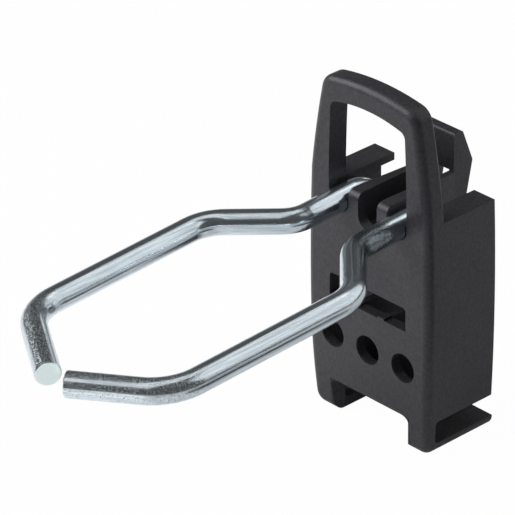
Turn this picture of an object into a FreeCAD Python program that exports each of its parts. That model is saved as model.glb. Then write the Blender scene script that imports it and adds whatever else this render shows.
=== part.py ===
"""Loop hook that clips onto a tool rail: a moulded carrier with a handle, and one bent wire loop.

Frame, in mm: X to the viewer's right, Y towards the wall, Z up, and X = 0 is the middle plane. The pieces are
drawn with the carrier's front face at Y = 0 and Z = 0 close to its feet. Their placements then put the origin
where the clip meets its rail: on the plane of the back edges, at the top of the feet's grip.
"""
import FreeCAD, Part
import math
import os

import Sketcher

os.makedirs("parts", exist_ok=True)
doc = FreeCAD.newDocument("loop_hook")
sheet = doc.addObject("Spreadsheet::Sheet", "Sizes")

SIZES = {
    # Outline of the carrier: half widths, and the heights that they belong to
    "foot_half": 20.2,
    "middle_half": 21.35,
    "shoulder_half": 20.65,
    "brow_half": 18.6,
    "crown_half": 16.1,
    "shoulder_height": 66.0,
    "crown_height": 92.3,
    "crown_rise": 1.8,
    "crown_round": 4.4,
    "front_round": 2.1,
    "handle_back_round": 0.9,
    # The front leans back a little towards the toes
    "toe_drop": 1.3,
    "toe_recede": 1.4,
    "recede_start": 26.0,
    "toe_round": 3.2,
    "toe_inner_round": 1.2,
    # Depths and walls
    "handle_depth": 5.9,
    "body_depth": 23.0,
    "front_wall": 3.0,
    "side_wall": 2.2,
    "bottom_wall": 2.0,
    "flange_thick": 2.0,
    "body_top": 63.5,
    "flange_inner": 13.8,
    # Feet that grip the lower edge of the rail
    "grip_low": 2.0,
    "grip_top": 8.3,
    "grip_front": 3.4,
    "tongue_reach": 0.7,
    "notch_top": 7.9,
    "grip_round": 0.9,
    "notch_half": 14.0,
    "notch_bevel": 2.75,
    "notch_round": 1.8,
    # Window of the handle, the two prongs and the cleft between them
    "window_top_half": 12.7,
    "window_straight": 2.0,
    "bar_height": 5.9,
    "bar_middle": 5.9,
    "window_round": 2.0,
    "prong_half": 3.25,
    "prong_rise": 0.9,
    "prong_round": 2.0,
    "cleft_depth": 9.0,
    # Letter-box slot and the row of holes
    "slot_half": 13.3,
    "slot_low": 32.5,
    "slot_tall": 6.4,
    "slot_round": 1.0,
    "slot_tab_inner": 3.6,
    "slot_tab_outer": 5.8,
    "slot_tab_high": 0.5,
    "hole_radius": 3.95,
    "hole_pitch": 12.36,
    "hole_height": 21.8,
    # Ribs inside the open back
    "web_inner": 4.0,
    "web_thick": 1.8,
    "guide_thick": 1.7,
    "guide_depth": 18.4,
    "guide_drop": 20.2,
    # Springy channel and the latch at its end
    "channel_floor": 2.0,
    "channel_end_inner": 3.6,
    "channel_end_outer": 5.2,
    "latch_front": 24.6,
    "latch_head": 10.6,
    "latch_lip": 1.4,
    "latch_top_depth": 3.0,
    "latch_nose_depth": 6.6,
    "latch_tail_depth": 3.9,
    "latch_wall": 1.8,
    "latch_round": 0.9,
    # Wire loop
    "wire": 6.5,
    "seat_play": 0.15,
    "leg_half": 10.05,
    "leg_sink": 4.05,
    "leg_slope": 2.3,
    "rear_start": 5.0,
    "rear_bend": 8.0,
    "leg_drop": 0.5,
    "elbow_reach": 14.5,
    "neck_bend": 8.0,
    "elbow_bend": 12.0,
    "knee_bend": 14.0,
    "shoulder_reach": 30.0,
    "left_shoulder": 26.1,
    "right_shoulder": 26.0,
    "left_knee": 25.2,
    "right_knee": 26.0,
    "left_knee_reach": 86.4,
    "right_knee_reach": 87.5,
    "tip_reach": 101.4,
    "right_tip": 5.0,
    "left_tip": -1.2,
    "tip_break": 0.3,
    "wire_play": 0.35,
}
for row, (name, size) in enumerate(SIZES.items(), start=1):
    sheet.set(f"A{row}", name)
    sheet.set(f"B{row}", repr(size))
    sheet.setAlias(f"B{row}", name)
doc.recompute()


class Size:
    """A length together with the formula that ties it to the sheet."""

    def __init__(self, value, formula):
        self.value = float(value)
        self.formula = formula

    @staticmethod
    def of(other):
        return other if isinstance(other, Size) else Size(other, repr(float(other)))

    def __add__(self, other):
        other = Size.of(other)
        return Size(self.value + other.value, f"({self.formula} + {other.formula})")

    def __sub__(self, other):
        other = Size.of(other)
        return Size(self.value - other.value, f"({self.formula} - {other.formula})")

    def __mul__(self, factor):
        return Size(self.value * factor, f"({self.formula} * {float(factor)!r})")

    def __truediv__(self, factor):
        return self * (1.0 / factor)

    def __neg__(self):
        return self * -1.0


def size(name):
    return Size(sheet.get(name), "Sizes." + name)


def bind(thing, prop, length):
    """Sets a property and ties it to its formula."""
    length = Size.of(length)
    thing.setExpression(prop, length.formula)


def plane(body, role):
    for feature in body.Origin.OriginFeatures:
        if feature.Role == role:
            return feature


def new_sketch(body, name, role, lift=None):
    sketch = body.newObject("Sketcher::SketchObject", name)
    sketch.AttachmentSupport = [(plane(body, role), "")]
    sketch.MapMode = "FlatFace"
    if lift is not None:
        lift = Size.of(lift)
        sketch.AttachmentOffset = FreeCAD.Placement(FreeCAD.Vector(0, 0, lift.value), FreeCAD.Rotation())
        sketch.setExpression(".AttachmentOffset.Base.z", lift.formula)
    return sketch


def pin(sketch, geometry, end, x, y, tag):
    """Places one point of the sketch by its two distances from the origin."""
    for axis, kind, value in ((-2, "DistanceX", Size.of(x)), (-1, "DistanceY", Size.of(y))):
        if abs(value.value) < 1e-9:
            sketch.addConstraint(Sketcher.Constraint("PointOnObject", geometry, end, axis))
            continue
        index = sketch.addConstraint(Sketcher.Constraint(kind, -1, 1, geometry, end, value.value))
        label = f"{tag}_{'x' if kind == 'DistanceX' else 'y'}"
        sketch.renameConstraint(index, label)
        sketch.setExpression(f"Constraints.{label}", value.formula)


def vector(x, y):
    return FreeCAD.Vector(Size.of(x).value, Size.of(y).value, 0)


def draw(body, name, role, corners, lift=None, closed=True):
    """Draws a chain of corners: (x, y) is joined by a line, (x, y, via_x, via_y) by an arc through via."""
    sketch = new_sketch(body, name, role, lift)
    count = len(corners)
    pieces = []
    for i in range(0 if closed else 1, count):
        before, here = corners[i - 1], corners[i]
        start, end = vector(*before[:2]), vector(*here[:2])
        if len(here) == 2:
            pieces.append(sketch.addGeometry(Part.LineSegment(start, end), False))
            pin(sketch, pieces[-1], 2, here[0], here[1], f"p{i}")
            continue
        arc = sketch.addGeometry(Part.Arc(start, vector(*here[2:]), end), False)
        first = sketch.getPoint(arc, 1)
        turned = first.distanceToPoint(end) < first.distanceToPoint(start)
        pieces.append((arc, turned))
        via = sketch.addGeometry(Part.Point(vector(*here[2:])), True)
        pin(sketch, arc, 1 if turned else 2, here[0], here[1], f"p{i}")
        pin(sketch, via, 1, here[2], here[3], f"v{i}")
        sketch.addConstraint(Sketcher.Constraint("PointOnObject", via, 1, arc))

    def ends(piece):
        if isinstance(piece, tuple):
            return piece[0], (2, 1) if piece[1] else (1, 2)
        return piece, (1, 2)

    for i in range(0 if closed else 1, len(pieces)):
        (one, one_ends), (two, two_ends) = ends(pieces[i - 1]), ends(pieces[i])
        sketch.addConstraint(Sketcher.Constraint("Coincident", one, one_ends[1], two, two_ends[0]))
    if not closed:
        first, first_ends = ends(pieces[0])
        pin(sketch, first, first_ends[0], corners[0][0], corners[0][1], "p0")
    return sketch


def circles(body, name, role, spots, lift=None):
    """Draws circles given as (x, y, radius)."""
    sketch = new_sketch(body, name, role, lift)
    for i, (x, y, radius) in enumerate(spots):
        radius = Size.of(radius)
        ring = sketch.addGeometry(Part.Circle(vector(x, y), FreeCAD.Vector(0, 0, 1), radius.value), False)
        pin(sketch, ring, 3, x, y, f"c{i}")
        index = sketch.addConstraint(Sketcher.Constraint("Radius", ring, radius.value))
        sketch.renameConstraint(index, f"r{i}")
        sketch.setExpression(f"Constraints.r{i}", radius.formula)
    return sketch


def feature(body, kind, name, sketch, length=None, **options):
    made = body.newObject("PartDesign::" + kind, name)
    made.Profile = sketch
    for key, value in options.items():
        setattr(made, key, value)
    if length is not None:
        bind(made, "Length", length)
    sketch.Visibility = False
    doc.recompute()
    body.Tip = made
    return made


def round_edges(body, name, base, radius, wanted, kind="Fillet"):
    """Rounds the edges of the feature that the test picks."""
    names = [f"Edge{i}" for i, edge in enumerate(base.Shape.Edges, start=1) if wanted(edge)]
    if not names:
        raise RuntimeError("no edge found for " + name)
    made = body.newObject("PartDesign::" + kind, name)
    made.Base = (base, names)
    bind(made, "Size" if kind == "Chamfer" else "Radius", radius)
    doc.recompute()
    body.Tip = made
    return made


def middle(edge):
    return edge.valueAt((edge.FirstParameter + edge.LastParameter) / 2)


def near(value, length, slack=0.02):
    return abs(value - Size.of(length).value) < slack


def samples(edge):
    span = edge.LastParameter - edge.FirstParameter
    return [edge.valueAt(edge.FirstParameter + span * i / 4) for i in range(5)]


def along(edge, axis):
    """True for a straight edge that runs along the axis."""
    points = samples(edge)
    for other in "xyz".replace(axis, ""):
        if any(not near(getattr(point, other), getattr(points[0], other), 0.001) for point in points):
            return False
    return True


def flat_at(edge, axis, length, slack=0.02):
    """True for an edge that lies wholly at one value of the axis."""
    return all(near(getattr(point, axis), length, slack) for point in samples(edge))


# The carrier: one moulding with a handle, an open back and two gripping feet
S = {name: size(name) for name in SIZES}
carrier = doc.addObject("PartDesign::Body", "carrier")
carrier.Label = "carrier"

MIDDLE_SHARE, BROW_SHARE = 0.545, 0.53
middle_height = S["shoulder_height"] * MIDDLE_SHARE
brow_height = S["shoulder_height"] + (S["crown_height"] - S["shoulder_height"]) * BROW_SHARE
top_height = S["crown_height"] + S["crown_rise"]
toe = -S["toe_drop"]
prong_top = S["body_top"] + S["prong_rise"]
leg_height = prong_top - S["leg_sink"]
seat_half = S["wire"] / 2 + S["seat_play"]
window_half, prong_outer = S["leg_half"] + seat_half, S["leg_half"] - seat_half

# Outer form: one outline with bowed sides and an arched top, as deep as the body
outline = draw(carrier, "FrontOutline", "XZ_Plane", [
    (S["foot_half"], toe),
    (S["shoulder_half"], S["shoulder_height"], S["middle_half"], middle_height),
    (S["crown_half"], S["crown_height"], S["brow_half"], brow_height),
    (-S["crown_half"], S["crown_height"], 0, top_height),
    (-S["shoulder_half"], S["shoulder_height"], -S["brow_half"], brow_height),
    (-S["foot_half"], toe, -S["middle_half"], middle_height),
])
tongue_depth = S["body_depth"] + S["tongue_reach"]
block = feature(carrier, "Pad", "OuterBlock", outline, tongue_depth, Reversed=True)

# Seen from the side, the handle is only as deep as a finger grip, and the tongues reach past the back edges
slot_middle = (S["grip_low"] + S["grip_top"]) / 2
behind = draw(carrier, "RearProfile", "YZ_Plane", [
    (S["handle_depth"], S["body_top"]),
    (S["body_depth"], S["body_top"]),
    (S["body_depth"], slot_middle),
    (S["body_depth"] + 9, slot_middle),
    (S["body_depth"] + 9, top_height + 5),
    (S["handle_depth"], top_height + 5),
])
block = feature(carrier, "Pocket", "RearCut", behind, S["middle_half"] * 4, Midplane=True)


def lean_back(height, recede):
    """How deep the arc lies half way down, where it leaves the front face smoothly and ends at that recede."""
    radius = Size((height.value ** 2 + recede.value ** 2) / (2 * recede.value),
                  f"(({height.formula} ^ 2 + {recede.formula} ^ 2) / (2 * {recede.formula}))")
    half = Size(radius.value - math.sqrt(radius.value ** 2 - height.value ** 2 / 4),
                f"({radius.formula} - sqrt({radius.formula} ^ 2 - {height.formula} ^ 2 / 4))")
    return half


lean_height = S["recede_start"] - toe
lean = draw(carrier, "FrontLean", "YZ_Plane", [
    (S["toe_recede"], toe, lean_back(lean_height, S["toe_recede"]), toe + lean_height / 2),
    (S["toe_recede"], toe - 5),
    (-5, toe - 5),
    (-5, S["recede_start"]),
    (0, S["recede_start"]),
])
block = feature(carrier, "Pocket", "LowerFront", lean, S["middle_half"] * 4, Midplane=True)

block = round_edges(carrier, "CrownCorners", block, S["crown_round"],
                    lambda e: along(e, "y") and near(middle(e).z, S["crown_height"]))
block = round_edges(carrier, "FootCorners", block, S["toe_round"],
                    lambda e: along(e, "y") and near(middle(e).z, toe))
block = round_edges(carrier, "FrontRound", block, S["front_round"],
                    lambda e: max(p.y for p in samples(e)) < S["toe_recede"].value + 0.02
                    and not (along(e, "x") and near(middle(e).z, S["recede_start"])))
block = round_edges(carrier, "HandleBackRound", block, S["handle_back_round"],
                    lambda e: flat_at(e, "y", S["handle_depth"]) and middle(e).z > S["body_top"].value + 0.5)

# Hollow back: the core leaves the front wall, two bowed sides, the bottom and the flanged top
core_top, core_low = S["body_top"] - S["flange_thick"], S["grip_top"] + S["bottom_wall"]
core_middle = (core_top + core_low) / 2
inside = draw(carrier, "BackCore", "XZ_Plane", [
    (S["foot_half"] - S["side_wall"], core_low),
    (S["shoulder_half"] - S["side_wall"], core_top, S["middle_half"] - S["side_wall"], core_middle),
    (-(S["shoulder_half"] - S["side_wall"]), core_top),
    (-(S["foot_half"] - S["side_wall"]), core_low, -(S["middle_half"] - S["side_wall"]), core_middle),
], lift=-S["front_wall"])
block = feature(carrier, "Pocket", "BackHollow", inside, S["body_depth"])

mouth = draw(carrier, "TopMouth", "XY_Plane", [
    (-S["flange_inner"], S["front_wall"]),
    (S["flange_inner"], S["front_wall"]),
    (S["flange_inner"], S["body_depth"] + 5),
    (-S["flange_inner"], S["body_depth"] + 5),
], lift=core_top)
block = feature(carrier, "Pocket", "TopOpening", mouth, S["flange_thick"], Reversed=True)

# Grip of the feet: a slot across both feet, open to the back, above the two tongues
bend = S["grip_round"]
corner = bend * (1 - math.sqrt(0.5))
grip = draw(carrier, "GripSlot", "YZ_Plane", [
    (S["grip_front"] + bend, S["grip_low"], S["grip_front"] + corner, S["grip_low"] + corner),
    (S["body_depth"] + 5, S["grip_low"]),
    (S["body_depth"] + 5, S["grip_top"]),
    (S["grip_front"] + bend, S["grip_top"]),
    (S["grip_front"], S["grip_top"] - bend, S["grip_front"] + corner, S["grip_top"] - corner),
    (S["grip_front"], S["grip_low"] + bend),
])
block = feature(carrier, "Pocket", "FootGrip", grip, S["middle_half"] * 4, Midplane=True)

# Notch between the feet, bevelled where it opens to the front
inner = S["notch_half"] - S["notch_bevel"]
bevel_start = S["toe_recede"] * 0.3
bevel_end = bevel_start + S["notch_bevel"]
notch = draw(carrier, "NotchPlan", "XY_Plane", [
    (-S["notch_half"], -5),
    (S["notch_half"], -5),
    (S["notch_half"], bevel_start),
    (inner, bevel_end),
    (inner, S["body_depth"] + 5),
    (-inner, S["body_depth"] + 5),
    (-inner, bevel_end),
    (-S["notch_half"], bevel_start),
], lift=toe - 1)
block = feature(carrier, "Pocket", "FootNotch", notch, S["notch_top"] - toe + 1, Reversed=True)


def notch_top(edge):
    """The short slanting edges where the bevels meet the top of the notch."""
    points = samples(edge)
    across, deep = abs(points[-1].x - points[0].x), abs(points[-1].y - points[0].y)
    return flat_at(edge, "z", S["notch_top"]) and near(across, deep, 0.05) and across > 0.5 \
        and max(p.y for p in points) < bevel_end.value + 0.02 and abs(middle(edge).x) > inner.value


block = round_edges(carrier, "NotchCorners", block, S["notch_round"], notch_top)
block = round_edges(carrier, "FootInnerEdges", block, S["toe_inner_round"],
                    lambda e: flat_at(e, "z", toe) and inner.value - 0.1 < abs(middle(e).x) < S["notch_half"].value
                    and e.Length > 1)

# Window of the handle with two round-bottomed wire seats, the prongs and the cleft between them
cleft_bottom = prong_top - S["cleft_depth"]
cleft_high = cleft_bottom + S["prong_half"]
window_straight = S["shoulder_height"] + S["window_straight"]
window_shoulder, window_top = S["crown_height"] - S["bar_height"], top_height - S["bar_middle"]
half_way = (window_straight + window_shoulder) / 2
bow = window_half * 0.62 + S["window_top_half"] * 0.38
seat_bottom = leg_height - seat_half
window = draw(carrier, "WindowOutline", "XZ_Plane", [
    (window_half, leg_height, S["leg_half"], seat_bottom),
    (window_half, window_straight),
    (S["window_top_half"], window_shoulder, bow, half_way),
    (-S["window_top_half"], window_shoulder, 0, window_top),
    (-window_half, window_straight, -bow, half_way),
    (-window_half, leg_height),
    (-prong_outer, leg_height, -S["leg_half"], seat_bottom),
    (-prong_outer, prong_top),
    (-S["prong_half"], prong_top),
    (-S["prong_half"], cleft_high),
    (S["prong_half"], cleft_high, 0, cleft_bottom),
    (S["prong_half"], prong_top),
    (prong_outer, prong_top),
    (prong_outer, leg_height),
])
block = feature(carrier, "Pocket", "HandleWindow", window, S["handle_depth"] + 1)
block = round_edges(carrier, "WindowCorners", block, S["window_round"],
                    lambda e: along(e, "y") and near(middle(e).z, window_shoulder))
block = round_edges(carrier, "ProngTops", block, S["prong_round"],
                    lambda e: flat_at(e, "y", 0) and flat_at(e, "z", prong_top))

# Slot with its two small tabs, and the row of round holes
slot_high = S["slot_low"] + S["slot_tall"]
slot = draw(carrier, "FrontSlot", "XZ_Plane", [
    (-S["slot_half"], S["slot_low"]),
    (-S["slot_tab_outer"], S["slot_low"]),
    (-S["slot_tab_outer"], S["slot_low"] + S["slot_tab_high"]),
    (-S["slot_tab_inner"], S["slot_low"] + S["slot_tab_high"]),
    (-S["slot_tab_inner"], S["slot_low"]),
    (S["slot_tab_inner"], S["slot_low"]),
    (S["slot_tab_inner"], S["slot_low"] + S["slot_tab_high"]),
    (S["slot_tab_outer"], S["slot_low"] + S["slot_tab_high"]),
    (S["slot_tab_outer"], S["slot_low"]),
    (S["slot_half"], S["slot_low"]),
    (S["slot_half"], slot_high),
    (-S["slot_half"], slot_high),
])
block = feature(carrier, "Pocket", "SlotCut", slot, S["front_wall"] + 1)
block = round_edges(carrier, "SlotCorners", block, S["slot_round"],
                    lambda e: along(e, "y") and near(middle(e).z, slot_high))
hole = circles(carrier, "FirstHole", "XZ_Plane", [(-S["hole_pitch"], S["hole_height"], S["hole_radius"])])
cut = feature(carrier, "Pocket", "HoleCut", hole, S["front_wall"] + 1)
row_of_holes = carrier.newObject("PartDesign::LinearPattern", "HoleRow")
row_of_holes.Originals = [cut]
row_of_holes.Direction = (hole, ["H_Axis"])
bind(row_of_holes, "Length", S["hole_pitch"] * 2)
row_of_holes.Occurrences = 3
doc.recompute()
carrier.Tip = row_of_holes


# Ribs of the open back: two webs behind the front wall, and a guide down each flange's inner edge
def upright_pair(name, x0, x1, y0, y1, low, high):
    """Adds the same upright rib on each side of the middle plane."""
    for left, right, label in ((-x1, -x0, name + "Left"), (x0, x1, name + "Right")):
        plan = draw(carrier, label + "Plan", "XY_Plane", [(left, y0), (right, y0), (right, y1), (left, y1)],
                    lift=low)
        feature(carrier, "Pad", label, plan, high - low)


rib_root = S["front_wall"] * 0.9
channel_low = cleft_bottom - S["channel_floor"]
saddle_front = S["rear_start"] + S["rear_bend"] - S["wire"] / 2 - S["wire_play"]
upright_pair("LowerWeb", S["web_inner"], S["web_inner"] + S["web_thick"], rib_root, S["body_depth"] - 1,
             core_low - 0.5, S["slot_low"])
upright_pair("UpperWeb", S["web_inner"], S["web_inner"] + S["web_thick"], rib_root, saddle_front,
             slot_high, channel_low + 0.5)
upright_pair("Guide", S["flange_inner"], S["flange_inner"] + S["guide_thick"], rib_root, S["guide_depth"],
             core_top - S["guide_drop"], core_top + 0.5)

# Springy channel: its two ribs carry the prongs' tops back and narrow towards the latch
latch_back = S["latch_front"] + S["latch_tail_depth"]
for side, label in ((-1, "Left"), (1, "Right")):
    rib = draw(carrier, f"Rib{label}Plan", "XY_Plane", [
        (S["prong_half"] * side, rib_root),
        (prong_outer * side, rib_root),
        (S["channel_end_outer"] * side, S["latch_front"] + 0.5),
        (S["channel_end_inner"] * side, S["latch_front"] + 0.5),
    ], lift=channel_low)
    feature(carrier, "Pad", f"Rib{label}", rib, prong_top - channel_low)
floor = draw(carrier, "ChannelFloorPlan", "XY_Plane", [
    (-S["prong_half"] - 0.5, rib_root),
    (S["prong_half"] + 0.5, rib_root),
    (S["channel_end_inner"] + 0.5, S["latch_front"] + 0.5),
    (-S["channel_end_inner"] - 0.5, S["latch_front"] + 0.5),
], lift=channel_low)
feature(carrier, "Pad", "ChannelFloor", floor, S["channel_floor"])

# Latch: a barbed head between two cheeks, open below and cored from below
front, nose = S["latch_front"], S["latch_front"] + S["latch_nose_depth"]
latch_nose, latch_top = prong_top + S["latch_lip"], prong_top + S["latch_head"]
head = draw(carrier, "LatchProfile", "YZ_Plane", [
    (front, channel_low),
    (latch_back, channel_low),
    (nose, latch_nose),
    (front + S["latch_top_depth"], latch_top),
    (front, latch_top),
])
block = feature(carrier, "Pad", "LatchBlock", head, S["channel_end_outer"] * 2, Midplane=True)
under = draw(carrier, "LatchUnder", "YZ_Plane", [
    (front - 0.01, cleft_bottom),
    (nose + 3, cleft_bottom),
    (nose + 3, prong_top + 0.3),
    (front - 0.01, prong_top + 0.3),
])
block = feature(carrier, "Pocket", "LatchClear", under, S["channel_end_inner"] * 2, Midplane=True)
barb = (S["latch_nose_depth"].value - S["latch_top_depth"].value) / (latch_top.value - latch_nose.value)
slant = math.hypot(1, barb)
core = draw(carrier, "LatchCore", "YZ_Plane", [
    (front + S["latch_wall"], prong_top),
    (nose - S["latch_wall"] * slant, prong_top),
    (nose - S["latch_wall"] * slant, latch_nose),
    (front + S["latch_top_depth"] - S["latch_wall"] * (slant - 1) - S["latch_wall"] + 0.6,
     latch_top - S["latch_wall"]),
    (front + S["latch_wall"], latch_top - S["latch_wall"]),
])
block = feature(carrier, "Pocket", "LatchHollow", core, S["channel_end_inner"] * 2, Midplane=True)
block = round_edges(carrier, "LatchRound", block, S["latch_round"],
                    lambda e: along(e, "x") and middle(e).y > front.value - 0.1
                    and (near(middle(e).z, latch_top) or near(middle(e).z, latch_nose))
                    and e.Length > S["channel_end_outer"].value * 1.5)

# The wire loop: drawn level, with the legs along -Y, then tipped forward by the slope of the legs
wire = doc.addObject("PartDesign::Body", "wire_loop")
wire.Label = "wire_loop"
radius = S["wire"] / 2
start = S["rear_start"]


def cut_corner(before, here, after, bend):
    """Start, middle and end of the arc that rounds a corner, as plain numbers."""
    a = FreeCAD.Vector(before[0] - here[0], before[1] - here[1], 0).normalize()
    b = FreeCAD.Vector(after[0] - here[0], after[1] - here[1], 0).normalize()
    half = a.getAngle(b) / 2
    tangent = bend / math.tan(half)
    centre_way = (a + b).normalize()
    corner_point = FreeCAD.Vector(here[0], here[1], 0)
    centre = corner_point + centre_way * (bend / math.sin(half))
    return corner_point + a * tangent, centre - centre_way * bend, corner_point + b * tangent


def loop_path(name, side, shoulder, knee, knee_reach, tip):
    """The path of one arm with rounded corners, tied to the corner points of the loop."""
    sketch = new_sketch(wire, name, "XY_Plane")
    corners = [(S["leg_half"] * side, start), (S["leg_half"] * side, -S["elbow_reach"]),
               (shoulder * side, -S["shoulder_reach"]), (knee * side, -knee_reach), (tip, -S["tip_reach"])]
    radii = [S["neck_bend"], S["elbow_bend"], S["knee_bend"]]
    plain = [(Size.of(x).value, Size.of(y).value) for x, y in corners]
    arcs = [cut_corner(plain[i], plain[i + 1], plain[i + 2], bend.value) for i, bend in enumerate(radii)]
    at = FreeCAD.Vector(plain[0][0], plain[0][1], 0)
    lines, bends = [], []
    for first, via, last in arcs:
        lines.append(sketch.addGeometry(Part.LineSegment(at, first), False))
        bends.append(sketch.addGeometry(Part.Arc(first, via, last), False))
        at = last
    lines.append(sketch.addGeometry(Part.LineSegment(at, FreeCAD.Vector(plain[4][0], plain[4][1], 0)), False))
    pin(sketch, lines[0], 1, *corners[0], "start")
    pin(sketch, lines[3], 2, *corners[4], "tip")
    for i, bent in enumerate(bends):
        first = sketch.getPoint(bent, 1)
        begins = first.distanceToPoint(arcs[i][0]) < first.distanceToPoint(arcs[i][2])
        one, two = (1, 2) if begins else (2, 1)
        sketch.addConstraint(Sketcher.Constraint("Tangent", lines[i], 2, bent, one))
        sketch.addConstraint(Sketcher.Constraint("Tangent", bent, two, lines[i + 1], 1))
        index = sketch.addConstraint(Sketcher.Constraint("Radius", bent, radii[i].value))
        sketch.renameConstraint(index, f"bend{i}")
        sketch.setExpression(f"Constraints.bend{i}", radii[i].formula)
        where = sketch.addGeometry(Part.Point(FreeCAD.Vector(plain[i + 1][0], plain[i + 1][1], 0)), True)
        pin(sketch, where, 1, *corners[i + 1], f"corner{i}")
        sketch.addConstraint(Sketcher.Constraint("PointOnObject", where, 1, lines[i]))
        sketch.addConstraint(Sketcher.Constraint("PointOnObject", where, 1, lines[i + 1]))
    return sketch


# Rear elbows: both legs turn down about one axis across the loop
elbows = circles(wire, "LegSections", "XZ_Plane",
                 [(-S["leg_half"], 0, radius), (S["leg_half"], 0, radius)], lift=-start)
hinge = draw(wire, "ElbowAxis", "XZ_Plane", [(-S["leg_half"], -S["rear_bend"]), (S["leg_half"], -S["rear_bend"])],
             lift=-start, closed=False)
bent = wire.newObject("PartDesign::Revolution", "RearElbows")
bent.Profile = elbows
bent.ReferenceAxis = (hinge, ["Edge1"])
bent.Angle = 90
doc.recompute()
if bent.Shape.BoundBox.YMax < start.value + 1 or bent.Shape.BoundBox.ZMin > -1:
    bent.Reversed = True
    doc.recompute()
wire.Tip = bent

# Short straight legs and the turn that joins them under the channel
drop = -S["rear_bend"]
leg_back = start + S["rear_bend"]
legs = circles(wire, "LegFeet", "XY_Plane",
               [(-S["leg_half"], leg_back, radius), (S["leg_half"], leg_back, radius)], lift=drop)
feature(wire, "Pad", "StraightLegs", legs, S["leg_drop"], Reversed=True)
low = drop - S["leg_drop"]
end = circles(wire, "TurnSection", "XY_Plane", [(S["leg_half"], leg_back, radius)], lift=low)
turn_axis = draw(wire, "TurnAxis", "XY_Plane", [(0, start), (0, leg_back)], lift=low, closed=False)
turn = wire.newObject("PartDesign::Revolution", "LowerTurn")
turn.Profile = end
turn.ReferenceAxis = (turn_axis, ["Edge1"])
turn.Angle = 180
doc.recompute()
if turn.Shape.BoundBox.ZMin > low.value - 1:
    turn.Reversed = True
    doc.recompute()
wire.Tip = turn

# The two arms of the loop, swept along their paths to tips that face each other
for side, label in ((-1, "Left"), (1, "Right")):
    word = label.lower()
    path = loop_path(f"{label}Path", side, S[word + "_shoulder"], S[word + "_knee"], S[word + "_knee_reach"],
                     S[word + "_tip"])
    ring = circles(wire, f"{label}Section", "XZ_Plane", [(S["leg_half"] * side, 0, radius)], lift=-start)
    arm = wire.newObject("PartDesign::AdditivePipe", f"{label}Arm")
    arm.Profile = ring
    arm.Spine = (path, [])
    doc.recompute()
    wire.Tip = arm
round_edges(wire, "TipBreak", wire.Tip, S["tip_break"],
            lambda e: e.Closed and near(e.Length, radius * 2 * math.pi, 0.05)
            and middle(e).y < -S["shoulder_reach"].value, kind="Chamfer")


def place(body, y, z, tilt=None):
    """Puts the origin at the rail, and tips the body about X where it has a slope."""
    angle = tilt.value if tilt else 0
    body.Placement = FreeCAD.Placement(FreeCAD.Vector(0, y.value, z.value),
                                       FreeCAD.Rotation(FreeCAD.Vector(1, 0, 0), angle))
    body.setExpression(".Placement.Base.y", y.formula)
    body.setExpression(".Placement.Base.z", z.formula)
    if tilt:
        body.setExpression(".Placement.Rotation.Angle", tilt.formula + " * 1 deg")


place(carrier, -S["body_depth"], -S["grip_top"])
place(wire, -S["body_depth"], leg_height - S["grip_top"], S["leg_slope"])
doc.recompute()

# Every object has to have computed, and each piece has to be one sound solid
for thing in doc.Objects:
    if "Invalid" in thing.State or "Error" in thing.State:
        raise RuntimeError(f"{thing.Name} did not compute: {thing.State}")
for body in (carrier, wire):
    shape = body.Shape
    if shape.isNull() or not shape.isValid() or len(shape.Solids) != 1:
        raise RuntimeError(f"{body.Label} is not one valid solid")
    box = shape.BoundBox
    print(body.Label, "volume", round(shape.Volume / 1000, 2), "cm3", "X", round(box.XMin, 1), round(box.XMax, 1),
          "Y", round(box.YMin, 1), round(box.YMax, 1), "Z", round(box.ZMin, 1), round(box.ZMax, 1))
    shape.exportStep(f"parts/{body.Label}.step")
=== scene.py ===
# %% [markdown]
# # A loop hook for a tool rail
#
# The real thing is two pieces. A black plastic carrier clips onto a rail with two feet and a sprung latch, and a
# bent wire, bright from its zinc plating, makes the loop that a tool hangs in. Both shapes come from the CAD model,
# which is loaded here as it is. What is left for this lesson is what each surface is made of, and the light.

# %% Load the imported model
import math

import bpy
from mathutils import Matrix, Vector


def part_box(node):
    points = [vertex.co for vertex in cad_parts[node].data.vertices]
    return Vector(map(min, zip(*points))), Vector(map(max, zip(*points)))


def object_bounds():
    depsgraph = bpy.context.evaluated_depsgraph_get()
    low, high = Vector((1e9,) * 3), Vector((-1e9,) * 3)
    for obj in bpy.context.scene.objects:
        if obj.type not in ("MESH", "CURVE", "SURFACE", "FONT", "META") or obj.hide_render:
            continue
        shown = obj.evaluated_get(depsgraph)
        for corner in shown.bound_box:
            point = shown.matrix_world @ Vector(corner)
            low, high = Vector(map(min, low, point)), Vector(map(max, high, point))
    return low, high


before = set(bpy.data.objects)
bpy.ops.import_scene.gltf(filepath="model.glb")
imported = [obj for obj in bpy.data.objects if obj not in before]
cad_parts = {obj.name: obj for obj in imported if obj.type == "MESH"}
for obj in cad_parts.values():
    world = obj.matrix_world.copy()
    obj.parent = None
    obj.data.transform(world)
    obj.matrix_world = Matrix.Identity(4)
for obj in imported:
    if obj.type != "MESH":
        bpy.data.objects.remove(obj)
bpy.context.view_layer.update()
MM = 0.001


for name, node in sorted(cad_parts.items()):
    low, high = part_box(name)
    print(name, [round(size / MM, 1) for size in high - low], "mm,", len(node.data.polygons), "faces")

# %% [markdown]
# ## Helpers for the materials
#
# Colours are written as sRGB hex, the way a paint chart gives them, and one function turns them to the linear
# values that the shader works in. A second function adds one node with its settings and its links. The small ones
# after it name the nodes that come up again and again, so that each finish below reads as a short list of what is
# laid over what.

# %% Colour and node helpers
def linear(colour):
    """An sRGB hex colour as linear red, green, blue and alpha."""
    parts = [int(colour[i:i + 2], 16) / 255 for i in (1, 3, 5)]
    return [c / 12.92 if c <= 0.04045 else ((c + 0.055) / 1.055) ** 2.4 for c in parts] + [1.0]


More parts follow.
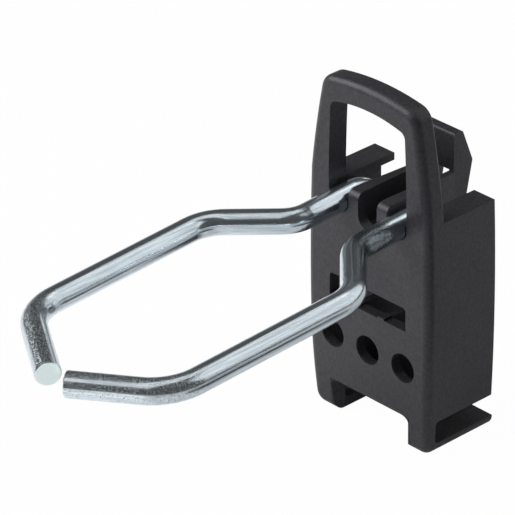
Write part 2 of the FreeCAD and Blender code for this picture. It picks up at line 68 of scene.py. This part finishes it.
def add(tree, kind, settings=None, **inputs):
    """Adds a node. Settings are its own fields, and inputs are values or the sockets that feed it."""
    made = tree.nodes.new(kind)
    for field, value in (settings or {}).items():
        setattr(made, field, value)
    for key, value in inputs.items():
        spot = int(key[3:]) if key.startswith("in_") and key[3:].isdigit() else key.replace("_", " ")
        socket = made.inputs[spot]
        if isinstance(value, bpy.types.NodeSocket):
            tree.links.new(value, socket)
        else:
            socket.default_value = value
    return made


def maths(tree, operation, *values):
    inputs = {f"in_{i}": value for i, value in enumerate(values)}
    return add(tree, "ShaderNodeMath", {"operation": operation}, **inputs).outputs[0]


def vectors(tree, operation, *values):
    inputs = {f"in_{i}": value for i, value in enumerate(values)}
    gives_number = operation in ("DOT_PRODUCT", "LENGTH", "DISTANCE")
    made = add(tree, "ShaderNodeVectorMath", {"operation": operation}, **inputs)
    return made.outputs["Value" if gives_number else "Vector"]


def ramp(tree, value, start, end, low=0.0, high=1.0):
    """Runs straight from low at start to high at end."""
    return add(tree, "ShaderNodeMapRange", in_0=value, in_1=start, in_2=end, in_3=low, in_4=high).outputs[0]


def smooth_step(tree, value, start, end, low=0.0, high=1.0):
    """Runs smoothly from low at start to high at end, whichever of the two is larger."""
    flip = start > end
    made = add(tree, "ShaderNodeMapRange", {"interpolation_type": "SMOOTHSTEP"}, in_0=value,
               in_1=min(start, end), in_2=max(start, end), in_3=high if flip else low, in_4=low if flip else high)
    return made.outputs[0]


def noise(tree, place, across, detail, roughness):
    """Noise with its largest blots about that far across."""
    made = add(tree, "ShaderNodeTexNoise", Vector=place, Scale=1 / across, Detail=detail, Roughness=roughness)
    return made.outputs["Fac"]


def blend(tree, share, one, other):
    """One colour, with that share of the other laid over it."""
    return add(tree, "ShaderNodeMix", {"data_type": "RGBA"}, in_0=share, in_6=one, in_7=other).outputs[2]


def blend_numbers(tree, share, one, other):
    return add(tree, "ShaderNodeMix", {"data_type": "FLOAT"}, in_0=share, in_2=one, in_3=other).outputs[0]


def new_finish(title):
    """An empty material and its node tree."""
    finish = bpy.data.materials.new(title)
    finish.use_nodes = True
    finish.node_tree.nodes.clear()
    return finish, finish.node_tree


def dress(name, finish):
    """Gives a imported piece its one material."""
    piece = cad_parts[name]
    piece.data.materials.clear()
    piece.data.materials.append(finish)


print("mid grey #808080 is", round(linear("#808080")[0], 3), "in linear light")

# %% [markdown]
# ## The carrier: black nylon with a spark-eroded grain
#
# The mould for such a clip is eroded by sparks, which leaves tiny craters less than half a millimetre across. They
# break up the shine, so a flat face shows a soft grey sheen where it mirrors the pale floor, and stays black where
# it mirrors nothing. The grain is a bump of two sizes. Nylon also flows as it fills the mould, and that leaves
# slightly duller and glossier patches a few millimetres wide, so the roughness wanders a little too.
#
# Inside the open back, in the slot and the holes and between the feet, the walls mirror little but each other. The
# shine is set lower there, which paints shade onto those walls. Two boxes find those walls by their place.

# %% Moulded nylon
GRAIN, GRAIN_DEPTH = 0.42 * MM, 0.06 * MM
CRATER_SHARE = 0.6
FLOW = 9.0 * MM
GLOSSIEST, DULLEST = 0.38, 0.46
# How much shine is taken off inside the moulding, as painted shade
SHINE, SHINE_LOST_TO_PAINTED_SHADE = 0.45, 0.3
# The rooms inside the moulding, as a centre and a size in mm: the open back with the holes, and the foot notch
ROOMS = [((0, -5.5, 20.5), (36.4, 33.8, 37.0)), ((0, -7.6, -5.0), (28.1, 31.8, 9.3))]


def inner_painted_shade_mask(tree, place):
    """1 inside the open back, in the holes and the slot and between the feet (painted shade), 0 on the outer faces.
    """
    found = 0.0
    for centre, size in ROOMS:
        away = vectors(tree, "ABSOLUTE", vectors(tree, "SUBTRACT", place, Vector(centre) * MM))
        room = add(tree, "ShaderNodeSeparateXYZ", in_0=vectors(tree, "SUBTRACT", Vector(size) * MM / 2, away))
        least = maths(tree, "MINIMUM", room.outputs["X"], room.outputs["Y"])
        least = maths(tree, "MINIMUM", least, room.outputs["Z"])
        found = maths(tree, "MAXIMUM", found, maths(tree, "GREATER_THAN", least, 0.0))
    return found


def moulded_nylon():
    finish, tree = new_finish("black_moulded_nylon")
    place = add(tree, "ShaderNodeTexCoord").outputs["Object"]
    craters = add(tree, "ShaderNodeTexVoronoi", {"feature": "F1"}, Vector=place, Scale=1 / GRAIN)
    dust = noise(tree, place, GRAIN * 2, 3.0, 0.65)
    relief = maths(tree, "MULTIPLY_ADD", craters.outputs["Distance"], CRATER_SHARE, dust)
    bump = add(tree, "ShaderNodeBump", Strength=0.85, Distance=GRAIN_DEPTH, Height=relief)
    gloss = ramp(tree, noise(tree, place, FLOW, 2.0, 0.5), 0.3, 0.7, GLOSSIEST, DULLEST)
    colour = blend(tree, ramp(tree, dust, 0.35, 0.65), linear("#29282c"), linear("#38373b"))
    # Painted shade: the shine is lowered inside the moulding, so the walls there render darker
    shine = maths(tree, "MULTIPLY_ADD", inner_painted_shade_mask(tree, place), -SHINE_LOST_TO_PAINTED_SHADE, SHINE)
    skin = add(tree, "ShaderNodeBsdfPrincipled", Base_Color=colour, Roughness=gloss, IOR=1.50,
               Specular_IOR_Level=shine, Specular_Tint=(0.94, 0.93, 1.0, 1.0), Normal=bump.outputs[0])
    add(tree, "ShaderNodeOutputMaterial", Surface=skin.outputs[0])
    return finish


dress("carrier", moulded_nylon())
print("grain of", GRAIN / MM, "mm on the carrier")

# %% [markdown]
# ## The wire: drawn steel with bright zinc plating
#
# The wire is drawn steel, so fine die lines run along it. Its plating is bright zinc with a clear blue passivation,
# which shines almost like chrome but with a cool tint. The die lines smear each reflection across the wire, and turn
# it into long streaks. To lay them, the place on the wire is turned about each bend, by the angle that the wire
# turns there, until the wire always runs along Y. Both arms share one pattern, mirrored, because |X| is used.
#
# Bending leaves pits in the plating, most of all from the front bends to the tips. They are rough, so they catch
# light where the polish around them is dark. One patch beside the right seat was scuffed and dented when the wire
# was pressed in, and its plating is also darkened there as painted shade, where the handle's side blocks the light.
# The two ends are sheared flat. The cut is plated too, but it is duller and paler, so it is found by its place: a
# thin slice at each end.

# %% Zinc-plated wire
STREAK, STREAK_LENGTH = 0.55 * MM, 14.0 * MM
PITS, DENTS = 0.3 * MM, 1.3 * MM
RELIEF = 0.035 * MM
PIT_DEPTH, DENT_HEIGHT = 0.7, 7.0
SMOOTHEST, WORN, SCUFFED, PITTED, CUT = 0.12, 0.22, 0.27, 0.6, 0.24
WIRE_RADIUS, CUT_SLICE = 3.25 * MM, 0.12 * MM
REAR_PITS, PITS_START, PITS_FULL = 0.12, -98 * MM, -110 * MM
# The scuffed patch: its middle and where it fades. Its plating is also darkened there as painted shade
SCUFF_AND_SHADE, SCUFF_AND_SHADE_CORE, SCUFF_AND_SHADE_EDGE = Vector((11.5, -33.0, 54.0)) * MM, 3.5 * MM, 7.5 * MM
# Each bend: its corner (|X|, Y), how far the wire turns, and the Y where the turn starts and ends
BENDS = [
    ((26.05, -53.0), -46.0, (-58.0, -49.5)),
    ((10.05, -37.5), 46.0, (-40.0, -34.0)),
    ((25.6, -109.5), 56.5, (-102.0, -113.5)),
]
# Each sheared end: its middle, and the way out of the wire
TIPS = [
    (Vector((5.0, -124.32, 47.98)) * MM, Vector((-0.834, -0.552, -0.022))),
    (Vector((-1.2, -124.32, 47.98)) * MM, Vector((0.848, -0.530, -0.021))),
]


def cut_mask(tree, place):
    """1 on the sheared ends of the wire, 0 elsewhere."""
    found = 0.0
    for point, way in TIPS:
        away = vectors(tree, "SUBTRACT", place, point)
        deep = maths(tree, "GREATER_THAN", vectors(tree, "DOT_PRODUCT", away, way), -CUT_SLICE)
        close = maths(tree, "LESS_THAN", vectors(tree, "LENGTH", away), WIRE_RADIUS * 1.05)
        found = maths(tree, "MAXIMUM", found, maths(tree, "MULTIPLY", deep, close))
    return found


def straightened(tree, place):
    """The place on the wire, turned about each bend so that the wire runs along Y, and Y itself."""
    axes = add(tree, "ShaderNodeSeparateXYZ", in_0=place)
    across, y = maths(tree, "ABSOLUTE", axes.outputs["X"]), axes.outputs["Y"]
    laid = add(tree, "ShaderNodeCombineXYZ", X=across, Y=y, Z=axes.outputs["Z"]).outputs[0]
    for (corner_x, corner_y), turn, (start, end) in BENDS:
        angle = smooth_step(tree, y, start * MM, end * MM, 0.0, math.radians(turn))
        laid = add(tree, "ShaderNodeVectorRotate", {"rotation_type": "Z_AXIS"}, Vector=laid,
                   Center=(corner_x * MM, corner_y * MM, 0.0), Angle=angle).outputs[0]
    return laid, y


def zinc_plate():
    finish, tree = new_finish("bright_zinc_plated_steel")
    place = add(tree, "ShaderNodeTexCoord").outputs["Object"]
    ends = cut_mask(tree, place)
    laid, y = straightened(tree, place)
    streaks = noise(tree, vectors(tree, "MULTIPLY", laid, (1 / STREAK, 1 / STREAK_LENGTH, 1 / STREAK)), 1.0, 4.0, 0.6)
    pitted = smooth_step(tree, y, PITS_START, PITS_FULL, REAR_PITS, 1.0)
    hollow = maths(tree, "MULTIPLY", ramp(tree, noise(tree, place, PITS, 4.0, 0.65), 0.44, 0.38), pitted)
    scuffed_and_shaded = smooth_step(tree, vectors(tree, "DISTANCE", place, SCUFF_AND_SHADE), SCUFF_AND_SHADE_CORE, SCUFF_AND_SHADE_EDGE, 1.0, 0.0)
    dents = maths(tree, "MULTIPLY", noise(tree, place, DENTS, 3.0, 0.6), scuffed_and_shaded)

    height = maths(tree, "MULTIPLY_ADD", hollow, -PIT_DEPTH, streaks)
    height = maths(tree, "MULTIPLY_ADD", dents, DENT_HEIGHT, height)
    bump = add(tree, "ShaderNodeBump", Strength=0.6, Distance=RELIEF, Height=height)

    colour = blend(tree, ramp(tree, streaks, 0.3, 0.65), linear("#bfcbd4"), linear("#e3eef5"))
    colour = blend(tree, hollow, colour, linear("#a9a8a4"))
    # Painted shade: the plating is darkened over the scuffed patch, where the handle's side blocks the light
    colour = blend(tree, scuffed_and_shaded, colour, linear("#7d868c"))
    colour = blend(tree, ends, colour, linear("#f2ffff"))

    rough = ramp(tree, streaks, 0.3, 0.7, WORN, SMOOTHEST)
    rough = blend_numbers(tree, scuffed_and_shaded, rough, SCUFFED)
    rough = blend_numbers(tree, hollow, rough, PITTED)
    rough = blend_numbers(tree, ends, rough, CUT)
    skin = add(tree, "ShaderNodeBsdfPrincipled", Base_Color=colour, Metallic=1.0, Roughness=rough,
               Normal=bump.outputs[0])
    add(tree, "ShaderNodeOutputMaterial", Surface=skin.outputs[0])
    return finish


dress("wire_loop", zinc_plate())
print("wire of", 2 * WIRE_RADIUS / MM, "mm, sheared at", len(TIPS), "ends")

# %% [markdown]
# ## The floor and the background
#
# The hook was photographed on white. A pale matt board lies just under the feet, lit by the lamps. The camera sees
# nearly all of it as plain white, and the rest keeps a faint shadow. The polished wire also shows what stood around
# the hook outside the picture: bright paper that starts a few centimetres to the front left, and a dark card on the
# table to the right. Only glossy rays, the ones that make reflections, find those two.
#
# The world is white to the camera and a dim grey to all other rays, like a dark studio behind the lamps.

# %% Floor and world
FLOOR_SIDE, FLOOR_DROP = 1.6, 0.2 * MM
PLAIN_SHARE = 0.98
# The bright paper: the way it lies in, where its edge starts and ends, and how white it is before and after
PAPER_WAY, PAPER_START, PAPER_FULL = (-0.86, -0.51, 0.0), 25 * MM, 60 * MM
PAPER_NEAR, PAPER_FAR = 0.1, 0.97
# The dark card: its middle, where its edge starts and ends, and its glow
CARD_MIDDLE, CARD_CORE, CARD_EDGE = (0.155, -0.025, 0.0), 65 * MM, 90 * MM
CARD_GLOW = 0.06
STUDIO_GLOW = 0.09


def pale_board():
    finish, tree = new_finish("pale_matt_board")
    rays = add(tree, "ShaderNodeLightPath").outputs
    place = add(tree, "ShaderNodeTexCoord").outputs["Object"]
    forward = vectors(tree, "DOT_PRODUCT", place, PAPER_WAY)
    paper = smooth_step(tree, forward, PAPER_START, PAPER_FULL, PAPER_NEAR, PAPER_FAR)
    paper = maths(tree, "MULTIPLY", rays["Is Glossy Ray"], paper)
    card = smooth_step(tree, vectors(tree, "DISTANCE", place, CARD_MIDDLE), CARD_CORE, CARD_EDGE, 1.0, 0.0)
    card = maths(tree, "MULTIPLY", card, rays["Is Glossy Ray"])

    matt = add(tree, "ShaderNodeBsdfPrincipled", Base_Color=linear("#f4f4f4"), Roughness=0.9)
    white = add(tree, "ShaderNodeEmission", Color=linear("#ffffff"), Strength=1.0)
    dark = add(tree, "ShaderNodeEmission", Color=linear("#ffffff"), Strength=CARD_GLOW)
    plain = maths(tree, "MULTIPLY_ADD", rays["Is Camera Ray"], PLAIN_SHARE, paper)
    shown = add(tree, "ShaderNodeMixShader", Fac=plain, in_1=matt.outputs[0], in_2=white.outputs[0])
    shown = add(tree, "ShaderNodeMixShader", Fac=card, in_1=shown.outputs[0], in_2=dark.outputs[0])
    add(tree, "ShaderNodeOutputMaterial", Surface=shown.outputs[0])
    return finish


half = FLOOR_SIDE / 2
board = bpy.data.meshes.new("floor")
board.from_pydata([(-half, -half, 0), (half, -half, 0), (half, half, 0), (-half, half, 0)], [], [(0, 1, 2, 3)])
floor = bpy.data.objects.new("floor", board)
floor.location = (0, 0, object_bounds()[0].z - FLOOR_DROP)
floor.data.materials.append(pale_board())
bpy.context.scene.collection.objects.link(floor)

world = bpy.data.worlds.new("pale_studio")
bpy.context.scene.world = world
world.use_nodes = True
sky = world.node_tree
sky.nodes.clear()
to_camera = add(sky, "ShaderNodeLightPath").outputs["Is Camera Ray"]
dim = add(sky, "ShaderNodeBackground", Color=linear("#ffffff"), Strength=STUDIO_GLOW)
white = add(sky, "ShaderNodeBackground", Color=linear("#ffffff"), Strength=1.0)
mixed = add(sky, "ShaderNodeMixShader", Fac=to_camera, in_1=dim.outputs[0], in_2=white.outputs[0])
add(sky, "ShaderNodeOutputWorld", Surface=mixed.outputs[0])
print("floor at", round(floor.location.z / MM, 1), "mm")

# %% [markdown]
# ## The lamps
#
# The bands on the wire tell where the soft boxes stood, because each straight stretch of it mirrors a ring of the
# studio. A key light stands at the front left. A wide, dimmer box fills the back right, from near the floor to high
# up. A long strip hangs above, from the front to the back left. Two weak ones stand low at the back left: a card that
# lifts the dark edges there, and a small strip that the bends mirror. Nothing bright stands at the camera, so edges
# that face it stay dark, as they do on the real one.

# %% Soft boxes
MIDDLE = Vector((0, -0.06, 0.03))


def soft_box(title, azimuth, elevation, distance, width, height, glow, turn=0.0):
    """An area lamp that looks at the hook. Azimuth 0 stands in front of it, 90 to its right. Glow is what a mirror
    shows of it, where 1 is white."""
    way_round, rise = math.radians(azimuth), math.radians(elevation)
    way = Vector((math.sin(way_round) * math.cos(rise), -math.cos(way_round) * math.cos(rise), math.sin(rise)))
    lamp = bpy.data.lights.new(title, "AREA")
    lamp.shape = "RECTANGLE"
    lamp.size, lamp.size_y = width, height
    lamp.energy = glow * math.pi * width * height
    holder = bpy.data.objects.new(title, lamp)
    holder.location = MIDDLE + way * distance
    aimed = way.to_track_quat("Z", "Y").to_matrix() @ Matrix.Rotation(math.radians(turn), 3, "Z")
    holder.rotation_euler = aimed.to_euler()
    bpy.context.scene.collection.objects.link(holder)
    print(title, "at", [round(v, 2) for v in holder.location], "m,", round(lamp.energy, 1), "W")


soft_box("front_left_box", -50, 35, 1.0, 0.9, 0.7, 4.8)
soft_box("back_right_box", 150, 33.5, 1.0, 1.1, 1.04, 0.8)
soft_box("top_strip", 0, 89, 0.55, 0.24, 0.95, 0.78, turn=13)
soft_box("left_card", -130, 5, 1.2, 1.3, 0.32, 0.17)
soft_box("back_left_strip", -151, 14, 1.0, 0.12, 0.2, 0.8)

# %% [markdown]
# ## The camera
#
# The view was found by fitting a plain pinhole camera to the outline of the hook in the picture: 47 degrees round to
# the right, 29 degrees up, about a metre away, with a long lens and a slight tilt. The same numbers place it here.

# %% Camera
AZIMUTH, ELEVATION, ROLL = math.radians(47.28), math.radians(28.949), math.radians(-0.826)
DISTANCE = 999.27 * MM
AIM = Vector((-7.072, -53.0, 48.595)) * MM
FOCAL_PIXELS, PICTURE = 4157.19, 515

back = Vector((math.sin(AZIMUTH) * math.cos(ELEVATION), -math.cos(AZIMUTH) * math.cos(ELEVATION),
               math.sin(ELEVATION)))
right = Vector((math.cos(AZIMUTH), math.sin(AZIMUTH), 0))
up = back.cross(right)
rolled_right = math.cos(ROLL) * right + math.sin(ROLL) * up
rolled_up = -math.sin(ROLL) * right + math.cos(ROLL) * up
lens = bpy.data.cameras.new("photo_camera")
lens.sensor_width = 36.0
lens.lens = FOCAL_PIXELS / PICTURE * lens.sensor_width
lens.clip_start, lens.clip_end = 0.05, 20.0
camera = bpy.data.objects.new("photo_camera", lens)
facing = Matrix((rolled_right, rolled_up, back)).transposed().to_4x4()
camera.matrix_world = Matrix.Translation(AIM + back * DISTANCE) @ facing
bpy.context.scene.collection.objects.link(camera)
bpy.context.scene.camera = camera
bpy.context.scene.view_settings.view_transform = "Standard"
print("lens", round(lens.lens, 1), "mm at", round(DISTANCE, 3), "m")
